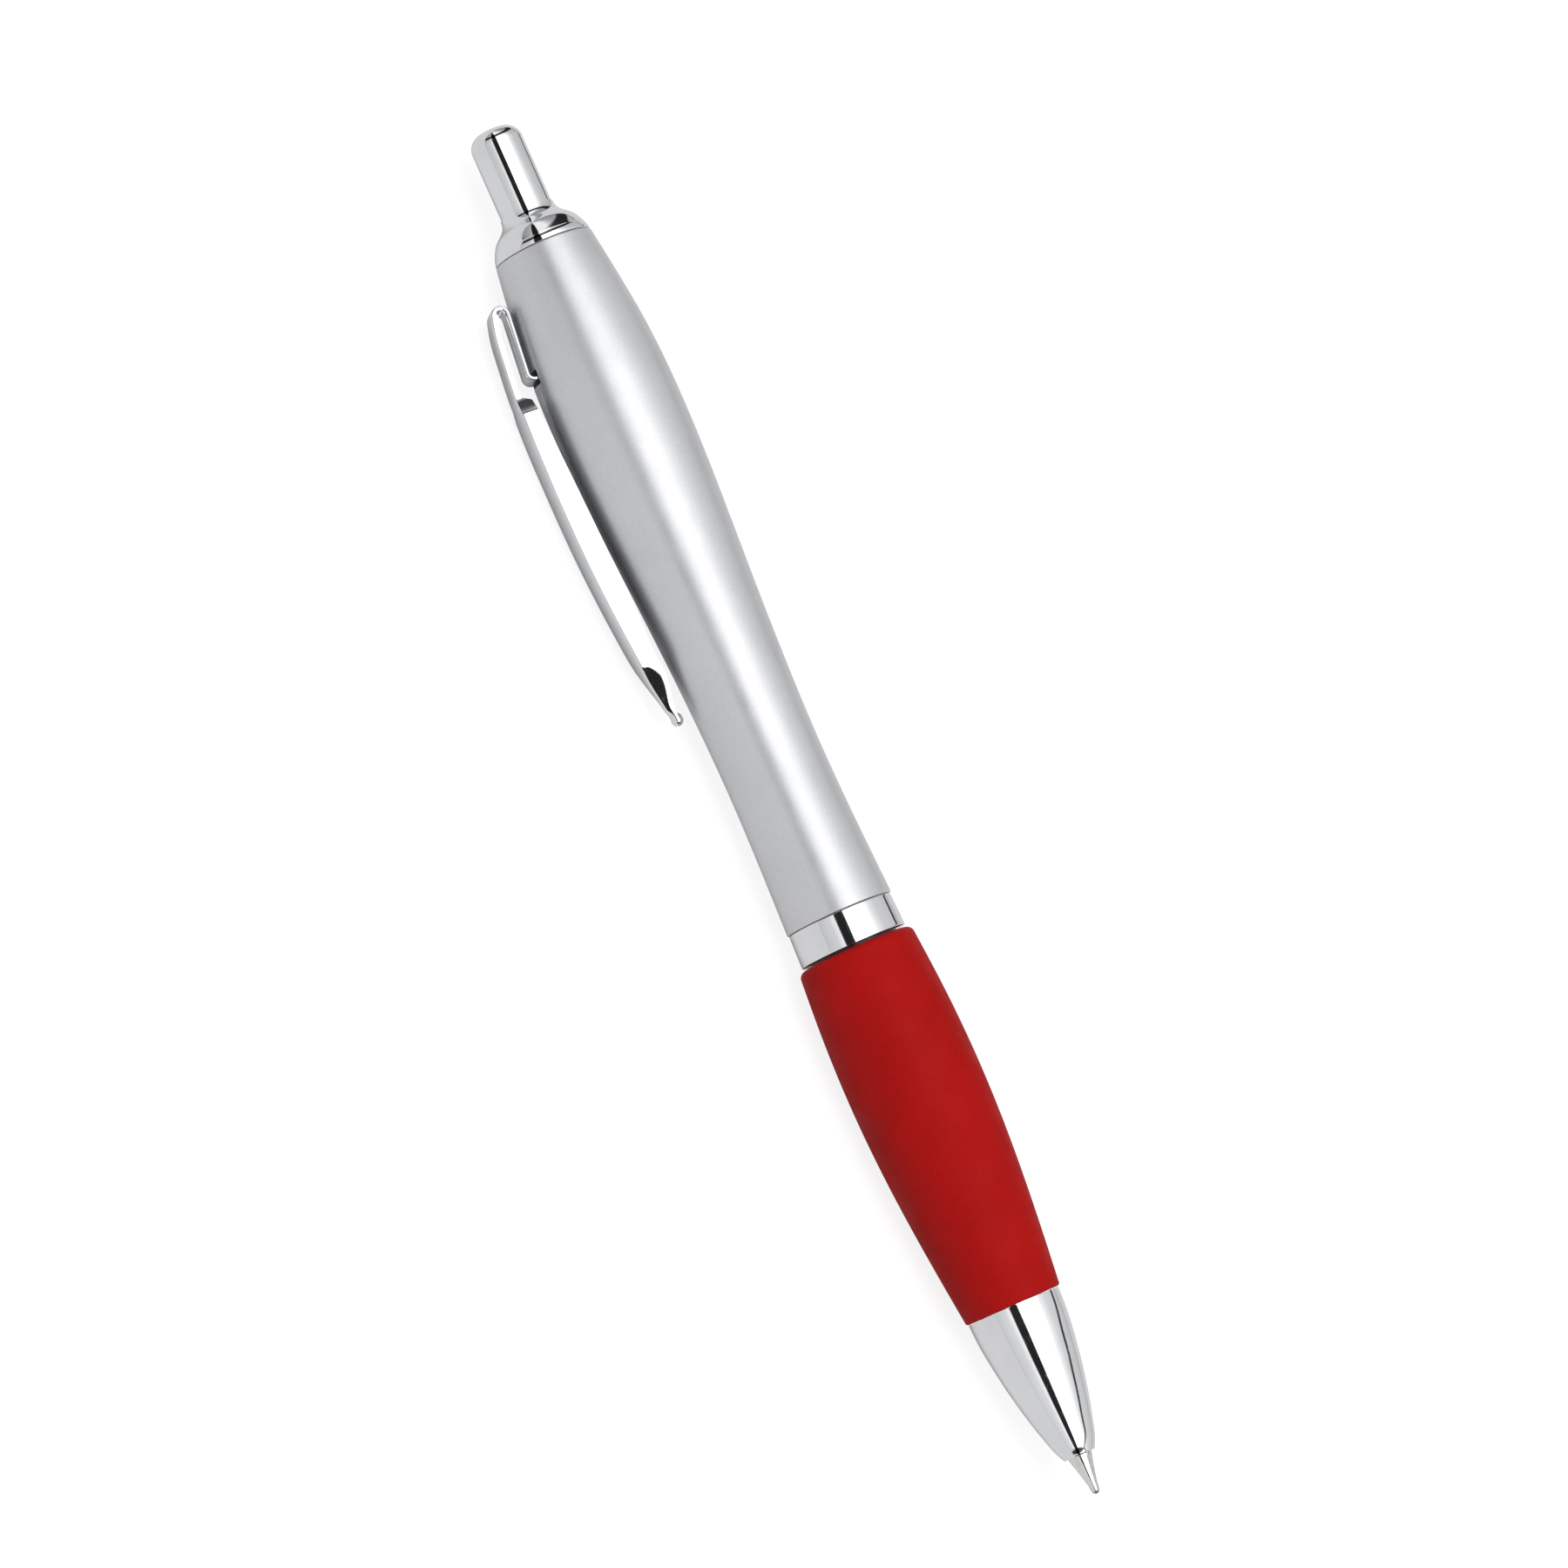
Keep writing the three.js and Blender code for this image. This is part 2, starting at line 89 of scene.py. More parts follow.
axis_point = Vector(joints["front_screw"]["pos_m"])
axis_point.x = (cad_bounds[0].x + cad_bounds[1].x) / 2
hinge = Vector(joints["clip_flex"]["pos_m"]) - axis_point
ALONG = Vector((1, 0, 0))
OUTWARD = Vector((0, hinge.y, hinge.z)).normalized()
SIDEWAYS = OUTWARD.cross(ALONG)
PEN = Matrix.Translation(axis_point) @ Matrix((ALONG, SIDEWAYS, OUTWARD)).transposed().to_4x4()
TO_PEN = PEN.inverted()


class Span:
    """Where a node starts and ends along the pen and its largest distance from the axis, in mm."""

    def __init__(self, node):
        points = [TO_PEN @ v.co / MM for v in frame["nodes"][node].data.vertices]
        self.start = min(p.x for p in points)
        self.end = max(p.x for p in points)
        self.length = self.end - self.start
        self.radius = max(hypot(p.y, p.z) for p in points)
        self.half_width = max(p.y for p in points)
        self.top = max(p.z for p in points)
        self.bottom = min(p.z for p in points)

    def at(self, share):
        return self.start + share * self.length


BUTTON = Span("push_button")
COLLAR = Span("top_collar")
BARREL = Span("upper_barrel")
RING = Span("middle_ring")
FRONT = Span("front_tube")
GRIP = Span("grip_sleeve")
NOSE = Span("nose_cone")
TIP = Span("point_tip")
BALL = Span("writing_ball")
SPRING = Span("return_spring")
BLADE = Span("clip_blade")
TONGUE = Span("clip_tongue")

# ---- curves ----


def spline(points):
    """A natural cubic spline through (x, y) points, as a function of x."""
    xs, ys = np.array(points, float).T
    gaps = np.diff(xs)
    slopes = np.diff(ys) / gaps
    matrix = np.eye(len(xs))
    change = np.zeros(len(xs))
    for i in range(1, len(xs) - 1):
        matrix[i, i - 1 : i + 2] = gaps[i - 1], 2 * (gaps[i - 1] + gaps[i]), gaps[i]
        change[i] = 6 * (slopes[i] - slopes[i - 1])
    bend = np.linalg.solve(matrix, change)

    def value(x):
        i = int(np.clip(np.searchsorted(xs, x) - 1, 0, len(gaps) - 1))
        gap, past, left = gaps[i], x - xs[i], xs[i + 1] - x
        cubic = (bend[i] * left**3 + bend[i + 1] * past**3) / (6 * gap)
        straight = (ys[i] * left + ys[i + 1] * past) / gap
        return float(cubic + straight - gap * (bend[i] * left + bend[i + 1] * past) / 6)

    return value


def share_spline(start, length, size, shares):
    """A spline through (share of a length from start, share of a size) pairs."""
    return spline([(start + along * length, across * size) for along, across in shares])


def run(curve, start, end, steps):
    """Points (x, curve(x)) from start to end."""
    return [(x, curve(x)) for x in np.linspace(start, end, steps + 1)]


def arc(centre_x, centre_r, radius, first, last, steps=6):
    """Points on a circular arc, angles in degrees from the +x direction."""
    angles = np.radians(np.linspace(first, last, steps + 1))
    return [(centre_x + radius * cos(a), centre_r + radius * sin(a)) for a in angles]


def part_way(value, low, high):
    """0 below low, 1 above high and a straight change between them."""
    return min(max((value - low) / (high - low), 0), 1)


def ease(value, low, high):
    """0 below low, 1 above high and a smooth change between them."""
    share = part_way(value, low, high)
    return share * share * (3 - 2 * share)


# ---- meshes ----


def finished(name, mesh, node, sharp=30, rides=True):
    """The object of a bmesh built in the pen's frame: it stands for a node and rides on its body,
    unless it is to be blended between two bodies."""
    bmesh.ops.recalc_face_normals(mesh, faces=mesh.faces)
    bmesh.ops.scale(mesh, vec=(MM, MM, MM), verts=mesh.verts)
    data = bpy.data.meshes.new(name)
    mesh.to_mesh(data)
    mesh.free()
    data.shade_smooth()
    data.set_sharp_from_angle(angle=radians(sharp))
    made = bpy.data.objects.new(name, data)
    bpy.context.scene.collection.objects.link(made)
    made.matrix_world = PEN
    if rides:
        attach(made, body_of[node])
    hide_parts(node)
    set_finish(made, slots[node])
    return made


def join_rings(mesh, rings, closed):
    """Faces between each ring of vertices and the next; a ring of one vertex is a point."""
    for near, far in zip(rings, rings[1:] + rings[:1] if closed else rings[1:]):
        count = max(len(near), len(far))
        for i in range(count):
            after = (i + 1) % count
            corners = [
                near[i % len(near)],
                near[after % len(near)],
                far[after % len(far)],
                far[i % len(far)],
            ]
            corners = list(dict.fromkeys(corners))
            if len(corners) > 2:
                mesh.faces.new(corners)


def lathe(outline, sides=144, ridge=None):
    """A bmesh of a closed (x, radius) outline turned about the pen's axis.
    ridge(x, radius, angle) may raise or lower the surface."""
    mesh = bmesh.new()
    rings = []
    for x, r in outline:
        if r < 1e-6:
            rings.append([mesh.verts.new((x, 0, 0))])
            continue
        ring = []
        for angle in np.linspace(0, 2 * pi, sides, endpoint=False):
            reach = ridge(x, r, angle) if ridge else r
            ring.append(mesh.verts.new((x, reach * cos(angle), reach * sin(angle))))
        rings.append(ring)
    join_rings(mesh, rings, closed=True)
    return mesh


def loft(sections):
    """A bmesh through closed loops of points, with both ends capped."""
    mesh = bmesh.new()
    rings = [[mesh.verts.new(point) for point in section] for section in sections]
    join_rings(mesh, rings, closed=False)
    for end in (rings[0], rings[-1]):
        if len(end) > 2:
            mesh.faces.new(end)
    return mesh


# ---- the round pieces ----


def push_button():
    edge = 0.59 * BUTTON.radius
    wall = 0.31 * BUTTON.radius
    crown = 0.045 * BUTTON.radius
    cap = BUTTON.at(0.08)
    outline = [
        (BUTTON.end, BUTTON.radius - wall),
        (cap, BUTTON.radius - wall),
        (cap, 0),
        (BUTTON.start, 0),
        (BUTTON.start + crown * 0.4, 0.5 * (BUTTON.radius - edge)),
        *arc(BUTTON.start + edge + crown, BUTTON.radius - edge, edge, 180, 90, 16),
        (BUTTON.end, BUTTON.radius),
    ]
    return finished("push_button_form", lathe(outline), "push_button")


def top_collar():
    """A bell that flares from the button, a fine crease and a short band next to the barrel."""
    lip = 0.03 * COLLAR.radius
    visible = BARREL.start - COLLAR.start
    flare_end = COLLAR.start + 0.785 * visible
    crease = COLLAR.start + 0.795 * visible
    band_start, band_end = COLLAR.start + 0.82 * visible, BARREL.start - 0.05
    shoulder = COLLAR.start + 0.77 * visible
    skirt = COLLAR.radius - 1.05
    skirt_bore = 3.2
    bore = BUTTON.radius + 0.06
    flare = share_spline(COLLAR.start, visible, COLLAR.radius, [
        (0, 0.552), (0.19, 0.587), (0.31, 0.668), (0.44, 0.793), (0.56, 0.871), (0.69, 0.928),
        (0.785, 0.963),
    ])
    outline = [
        *run(flare, COLLAR.start, flare_end, 30),
        (crease, 0.96 * COLLAR.radius),
        (band_start, 0.975 * COLLAR.radius),
        *arc(band_end - lip, COLLAR.radius - lip, lip, 92, 0, 5),
        (band_end, skirt),
        (COLLAR.end, skirt),
        (COLLAR.end, skirt_bore),
        (shoulder, skirt_bore),
        (shoulder, bore),
        (COLLAR.start, bore),
    ]
    return finished("top_collar_form", lathe(outline), "top_collar")


def cut_slot(barrel, sharp):
    """Cuts the slot for the clip's root through the barrel's wall."""
    start = TONGUE.end - 0.9
    length, play, height = 1.4, 0.3, 4
    middle_height = 5
    slot = bmesh.new()
    bmesh.ops.create_cube(slot, size=1)
    size = Vector((length, 2 * (TONGUE.half_width + play), height))
    bmesh.ops.scale(slot, vec=size * MM, verts=slot.verts)
    middle = Vector((start + length / 2, 0, middle_height)) * MM
    bmesh.ops.translate(slot, vec=middle, verts=slot.verts)
    data = bpy.data.meshes.new("slot")
    slot.to_mesh(data)
    slot.free()
    cutter = bpy.data.objects.new("slot", data)
    bpy.context.scene.collection.objects.link(cutter)
    cutter.matrix_world = PEN
    cut = barrel.modifiers.new("slot", "BOOLEAN")
    cut.operation = "DIFFERENCE"
    cut.object = cutter
    bpy.context.view_layer.update()
    depsgraph = bpy.context.evaluated_depsgraph_get()
    barrel.data = bpy.data.meshes.new_from_object(barrel.evaluated_get(depsgraph))
    barrel.data.set_sharp_from_angle(angle=radians(sharp))
    barrel.modifiers.clear()
    bpy.data.objects.remove(cutter)


def upper_barrel():
    edge, sharp = 0.12, 50
    bore, mechanism_bore, web_bore = 4.05, 3.8, 2.75
    web_start, web_end = BARREL.at(0.293), BARREL.at(0.328)
    start, end = BARREL.start, BARREL.end
    side = share_spline(start, BARREL.length, BARREL.radius, [
        (0, 0.768), (0.057, 0.853), (0.151, 0.964), (0.246, 1), (0.39, 0.956), (0.533, 0.869),
        (0.675, 0.8), (0.779, 0.778), (0.895, 0.797), (1, 0.836),
    ])
    outline = [
        *arc(start + edge, side(start + edge) - edge, edge, 180, 105, 4),
        *run(side, start + 1.5 * edge, end - 1.5 * edge, 110),
        *arc(end - edge, side(end - edge) - edge, edge, 85, 0, 4),
        (end, bore),
        (web_end + 1, bore),
        (web_end, web_bore),
        (web_start, web_bore),
        (web_start, mechanism_bore),
        (start, mechanism_bore),
    ]
    made = finished("upper_barrel_form", lathe(outline, 160), "upper_barrel", sharp)
    cut_slot(made, sharp)
    return made


def middle_ring():
    edge = 0.1
    side = share_spline(RING.start, RING.length, RING.radius, [
        (0, 0.972), (0.5, 0.984), (1, 0.993),
    ])
    bore = 4.05
    outline = [
        (RING.start, bore),
        *arc(RING.start + edge, side(RING.start) - edge, edge, 180, 90, 4),
        *run(side, RING.start + 2 * edge, RING.end - 2 * edge, 8),
        *arc(RING.end - edge, side(RING.end) - edge, edge, 90, 0, 4),
        (RING.end, bore),
    ]
    return finished("middle_ring_form", lathe(outline), "middle_ring")


def front_tube():
    thread_radius, bore, socket = 3.95, 2.3, 3.4
    socket_floor = NOSE.start - 0.3
    pitch, depth = 1.25, 0.35
    thread_start, thread_end = FRONT.start + 0.8, RING.end - 2.4
    seat = RING.end
    chamfer = 0.4

    def ridge(x, r, angle):
        """The crest of a thread that runs out smoothly at both ends."""
        if r < thread_radius - 0.01 or not thread_start < x < thread_end:
            return r
        turn = (x / pitch - angle / (2 * pi)) % 1
        crest = ease(abs(turn - 0.5), 0.12, 0.34)
        fade = min(ease(x, thread_start, thread_start + 1), 1 - ease(x, thread_end - 1, thread_end))
        return r - depth * (1 - crest) * fade

    threaded = [(x, thread_radius) for x in np.linspace(FRONT.start + chamfer, seat, 90)]
    outline = [
        (FRONT.start, bore),
        (FRONT.start, thread_radius - chamfer),
        *threaded,
        (seat, FRONT.radius),
        (FRONT.end, FRONT.radius),
        (FRONT.end, socket),
        (socket_floor, socket),
        (socket_floor, bore),
    ]
    return finished("front_tube_form", lathe(outline, 96, ridge), "front_tube", sharp=50)


def grip_sleeve():
    shoulder = 0.11 * GRIP.radius
    side = share_spline(GRIP.start, GRIP.length, GRIP.radius, [
        (shoulder / GRIP.length, 0.909), (0.144, 0.96), (0.365, 1), (0.594, 0.96), (0.776, 0.879),
        (0.931, 0.789), (1, 0.746),
    ])
    bore = FRONT.radius + 0.06
    edge = 0.15
    outline = [
        (GRIP.start, bore),
        *arc(GRIP.start + shoulder, side(GRIP.start + shoulder) - shoulder, shoulder, 180, 97, 12),
        *run(side, GRIP.start + 1.15 * shoulder, GRIP.end - edge, 70),
        (GRIP.end, side(GRIP.end) - edge),
        (GRIP.end, bore),
    ]
    return finished("grip_sleeve_form", lathe(outline), "grip_sleeve")


def nose_cone():
    visible = NOSE.end - GRIP.end - 0.05
    start = NOSE.end - visible
    side = share_spline(start, visible, NOSE.radius, [
        (0, 0.99), (0.13, 0.973), (0.329, 0.895), (0.462, 0.825), (0.595, 0.738), (0.728, 0.636),
        (0.86, 0.516), (0.96, 0.4), (1, 0.33),
    ])
    mouth, spring_bore, plug = TIP.radius + 0.12, 1.8, 3.3
    seat = SPRING.end + 0.06
    lip = 0.12
    outline = [
        (NOSE.start, plug),
        (start, plug),
        *run(side, start, NOSE.end - 1.2 * lip, 50),
        *arc(NOSE.end - lip, side(NOSE.end - lip) - lip, lip, 60, 0, 4),
        (NOSE.end, mouth),
        (seat, mouth),
        (seat, spring_bore),
        (NOSE.start, spring_bore),
    ]
    return finished("nose_cone_form", lathe(outline), "nose_cone")


def point_tip():
    step = TIP.start + 3.95
    shank, bore = 0.8, 0.3
    neck, rim, cup = 0.45, 0.42, 0.34
    cone_start, cone_end = NOSE.end + 0.35, TIP.end - 0.62
    cone = spline([
        (cone_start, 0.96 * TIP.radius),
        (cone_start + 0.55, 0.83 * TIP.radius),
        (cone_start + 1.55, 0.61 * TIP.radius),
        (cone_end, 0.4 * TIP.radius),
    ])
    outline = [
        (TIP.start, bore),
        (TIP.start, shank),
        (step, shank),
        (step, TIP.radius),
        (NOSE.end + 0.2, TIP.radius),
        *run(cone, cone_start, cone_end, 10),
        (cone_end + 0.12, neck),
        (TIP.end - 0.1, rim),
        (TIP.end, rim - 0.05),
        (TIP.end - 0.3, cup),
        (TIP.end - 0.5, bore),
    ]
    return finished("point_tip_form", lathe(outline, 64), "point_tip")


def writing_ball():
    centre, radius = BALL.at(0.5), BALL.length / 2
    outline = arc(centre, 0, radius, 180, 0, 24)
    outline[0] = (centre - radius, 0)
    outline[-1] = (centre + radius, 0)
    return finished("writing_ball_form", lathe(outline, 48), "writing_ball")


def return_spring():
    wire = 0.18
    mean = SPRING.radius - wire
    turns, steps, around = 7, 36, 12
    closing = 0.07
    first, last = SPRING.start + wire, SPRING.end - wire
    sections = []
    for i in range(turns * steps + 1):
        share = i / (turns * steps)
        angle = 2 * pi * turns * share
        radial = Vector((0, cos(angle), sin(angle)))
        # the coils lie closer together at the ends, next to their seats
        lift = share - closing * sin(2 * pi * share)
        centre = Vector((first + (last - first) * lift, 0, 0)) + mean * radial
        sections.append([
            centre + wire * (cos(turn) * radial + sin(turn) * ALONG)
            for turn in np.linspace(0, 2 * pi, around, endpoint=False)
        ])
    made = finished("return_spring_form", loft(sections), "return_spring", rides=False)
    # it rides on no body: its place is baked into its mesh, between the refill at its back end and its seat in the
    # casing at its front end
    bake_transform(made)
    return made


# ---- the clip ----

STRIP = 0.38  # thickness of the folded sheet
CORNER = 0.16  # radius of its folds
FLAT_DEPTH = STRIP + 0.02  # depth of the sheet without side walls
NECK_DEPTH = 0.62  # and of the neck between the bend and the side walls
FLAT_CROWN = 0.02  # how far the face bulges at its sides
LEAF_CROWN = 0.12
CURL = Vector((hinge.x / MM, 0, hypot(hinge.y, hinge.z) / MM))
CURL_RADIUS = CURL.x - BLADE.start
CURL_SPLIT = 218  # degrees round the bend where the blade ends and the tongue begins
SPLIT_GAP = 6  # degrees from there to either of them
BLADE_TURN = 105  # degrees round the bend where it runs out straight into the blade
NECK_TURN = 150  # degrees round the bend where the sheet's edges begin to fold down
NUB_RADIUS = 0.6
NUB = Vector((BLADE.end - NUB_RADIUS, 0, 0.737 * BLADE.top))
REACH = NUB.x - CURL.x  # from the middle of the bend to the nub
FLANGE = CURL.x + 0.207 * REACH  # where the side walls begin
FACET = CURL.x + 0.865 * REACH  # where the walls begin to fold in to the point
NECK = 0.68 * BLADE.half_width
WALL_LEAN = radians(3)
FACET_LEAN = radians(16)
CORNER_STEPS = 7
FACE_STEPS = 6
LOWER_STEPS = 4
UPPER_STEPS = 5

BEND_END = radians(BLADE_TURN)
face_height = share_spline(CURL.x, REACH, BLADE.top, [
    (CURL_RADIUS * cos(BEND_END) / REACH, (CURL.z + CURL_RADIUS * sin(BEND_END)) / BLADE.top),
    (0.035, 0.893), (0.083, 0.924), (0.187, 0.974), (0.385, 1.008), (0.582, 1.002),
    (0.783, 0.948), (0.855, 0.916), (0.903, 0.882), (0.949, 0.838), (0.971, 0.82), (1, 0.802),
])
leaf_half_width = share_spline(CURL.x, REACH, BLADE.half_width, [
    (0.2, 0.95), (0.273, 0.99), (0.385, 0.97), (0.65, 0.91), (0.78, 0.86), (0.86, 0.76),
    (0.903, 0.57), (0.949, 0.3), (0.971, 0.2), (1, 0.16),
])
wall_edge = share_spline(CURL.x, REACH, BLADE.top, [
    (0.2, 0.82), (0.298, 0.798), (0.418, 0.774), (0.585, 0.745), (0.775, 0.723), (0.855, 0.72),
    (0.902, 0.692), (0.925, 0.692), (0.948, 0.713), (0.971, 0.733), (1, 0.737),
])


def channel(half_width, depth, crown, facet, lean):
    """Half the outline of the folded sheet across the clip, as (sideways, depth below the face).
    The wall reaches down to depth. Its upper part, a share facet of it, leans in by lean, and the
    face bulges by crown."""
    corner = min(CORNER, 0.75 * depth, 0.9 * half_width)
    top = corner * (1 - sin(lean))
    crease = top + facet * (depth - top)
    row = 0.3 * min(crease - top, depth - crease, 0.3)
    outer = []
    for down in np.linspace(depth, crease + row, LOWER_STEPS):
        outer.append((half_width - tan(WALL_LEAN) * (depth - down), down))
    ridge = half_width - tan(WALL_LEAN) * (depth - crease)
    for down in np.linspace(crease - row, top, UPPER_STEPS)[:-1]:
        outer.append((ridge - tan(lean) * (crease - down), down))
    centre = ridge - tan(lean) * (crease - top) - corner * cos(lean)
    for angle in np.linspace(lean, pi / 2, CORNER_STEPS):
        outer.append((centre + corner * cos(angle), corner * (1 - sin(angle))))
    for across in np.linspace(centre, 0, FACE_STEPS)[1:]:
        outer.append((across, 0))
    return [(across, down + crown * (across / half_width) ** 2) for across, down in outer]


def thickened(outer, thickness):
    """A half outline and its mirror image, with the inner skin one thickness inside."""
    lowest = outer[0][1]
    inner = []
    for i, (across, down) in enumerate(outer):
        before = outer[max(i - 1, 0)]
        after = outer[min(i + 1, len(outer) - 1)]
        run_across, run_down = after[0] - before[0], after[1] - before[1]
        length = hypot(run_across, run_down)
        inner.append((
            max(across + thickness * run_down / length, 0),
            max(down - thickness * run_across / length, thickness),
        ))
    inner[0] = (inner[0][0], lowest)
    inner[-1] = (0, outer[-1][1] + thickness)
    skins = [(across, down) for across, down in outer] + [(-a, d) for a, d in outer[-2::-1]]
    linings = [(-a, d) for a, d in inner] + [(a, d) for a, d in inner[-2::-1]]
    return skins + linings


def rounded(count, x, radius):
    """A circle at the nub's height, with as many points as the folded outline."""
    half = count // 2
    angles = [*np.linspace(-20, 200, half), *np.linspace(206, 334, count - half)]
    return [(x, radius * cos(radians(a)), NUB.z + radius * sin(radians(a))) for a in angles]


def placed(x, z, facing, outline):
    """An outline across the sheet, put where the sheet's face looks along an angle."""
    return [(x - down * cos(facing), across, z - down * sin(facing)) for across, down in outline]


def bend_section(turn):
    """The sheet at an angle round the bend, in degrees."""
    facing = radians(turn)
    depth = FLAT_DEPTH + (NECK_DEPTH - FLAT_DEPTH) * ease(-turn, -NECK_TURN, -BLADE_TURN)
    outline = thickened(channel(NECK, depth, FLAT_CROWN, facet=0.3, lean=WALL_LEAN), STRIP)
    x, z = CURL.x + CURL_RADIUS * cos(facing), CURL.z + CURL_RADIUS * sin(facing)
    return placed(x, z, facing, outline)


def blade_section(x):
    """The sheet at a station of the blade. Its side walls grow at the flange, fold in at the facet
    and close to a round end at the nub."""
    height = face_height(x)
    slope = (face_height(x + 0.05) - face_height(x - 0.05)) / 0.1
    wall = ease(x, FLANGE - 0.8, FLANGE - 0.1)
    wide = part_way(x, FLANGE - 0.7, FLANGE + 1)
    folded = sin(0.5 * pi * part_way(x, FACET, FACET + 1.8))
    half_width = NECK + (leaf_half_width(x) - NECK) * wide
    depth = NECK_DEPTH + (height - wall_edge(x) - NECK_DEPTH) * wall
    crown = FLAT_CROWN + (LEAF_CROWN - FLAT_CROWN) * wall
    straight = 0.25
    rim = 0.35 / depth
    facet = straight + (1 - rim - straight) * folded
    lean = WALL_LEAN + (FACET_LEAN - WALL_LEAN) * ease(x, FACET - 0.15, FACET + 0.25)
    outline = thickened(channel(half_width, depth, crown, facet, lean), STRIP)
    loop = placed(x, height, pi / 2 + atan2(slope, 1), outline)
    circle = rounded(len(loop), x, 0.92 * NUB_RADIUS)
    share = ease(x, NUB.x - 1.2, NUB.x - 0.25)
    return [
        tuple(a + share * (b - a) for a, b in zip(point, place))
        for point, place in zip(loop, circle)
    ]


def clip_sections():
    """Loops of points across the sheet, from the bend at the top to the rounded nub."""
    stations = [
        *np.linspace(CURL.x - 0.002 * REACH, FLANGE - 1.2, 18),
        *np.linspace(FLANGE - 1, FLANGE + 1.1, 24),
        *np.linspace(FLANGE + 1.4, FACET - 0.4, 34),
        *np.linspace(FACET - 0.3, FACET + 2.2, 26),
        *np.linspace(FACET + 2.4, NUB.x, 22),
    ]
    sections = [bend_section(turn) for turn in np.linspace(CURL_SPLIT - SPLIT_GAP, BLADE_TURN, 20)]
    sections += [blade_section(x) for x in stations]
    count = len(sections[-1])
    for turn in np.radians(np.linspace(0, 85, 10)):
        sections.append(rounded(count, NUB.x + NUB_RADIUS * sin(turn), NUB_RADIUS * cos(turn)))
    return sections


def clip_blade():
    return finished("clip_blade_form", loft(clip_sections()), "clip_blade", sharp=40)


def clip_tongue():
    """The lower half of the bend, a straight strip just clear of the barrel, and the root that
    turns down into its slot."""
    rise = 0.104
    bend = 0.45
    root = TONGUE.end - STRIP
    points = []

    def under(x):
        """Height of the strip's lower face."""
        return CURL.z - CURL_RADIUS + rise * (x - CURL.x)

    for turn in np.radians(np.linspace(CURL_SPLIT + SPLIT_GAP, 266, 10)):
        place = (CURL.x + CURL_RADIUS * cos(turn), CURL.z + CURL_RADIUS * sin(turn))
        points.append((*place, turn + pi / 2 - 2 * pi))
    for x in np.linspace(CURL.x + 0.1, root - bend, 20):
        points.append((x, under(x), atan2(rise, 1)))
    level = under(root - bend)
    for turn in np.radians(np.linspace(10, 90, 8)):
        points.append((root - bend + bend * sin(turn), level - bend * (1 - cos(turn)), -turn))
    points.append((root, TONGUE.bottom, -pi / 2))
    half, edge = TONGUE.half_width, 0.14
    quarter = np.radians([0, 30, 60, 90])
    across = [
        *[(half - edge + edge * cos(a), STRIP - edge + edge * sin(a)) for a in quarter],
        *[(-half + edge - edge * cos(a), STRIP - edge + edge * sin(a)) for a in quarter[::-1]],
        *[(-half + edge - edge * cos(a), edge - edge * sin(a)) for a in quarter],
        *[(half - edge + edge * cos(a), edge - edge * sin(a)) for a in quarter[::-1]],
    ]
    sections = []
    for x, z, direction in points:
        facing = Vector((-sin(direction), 0, cos(direction)))
        base = Vector((x, 0, z))
        sections.append([base + Vector((0, sideways, 0)) + up * facing for sideways, up in across])
    return finished("clip_tongue_form", loft(sections), "clip_tongue", sharp=45)


# ---- materials ----


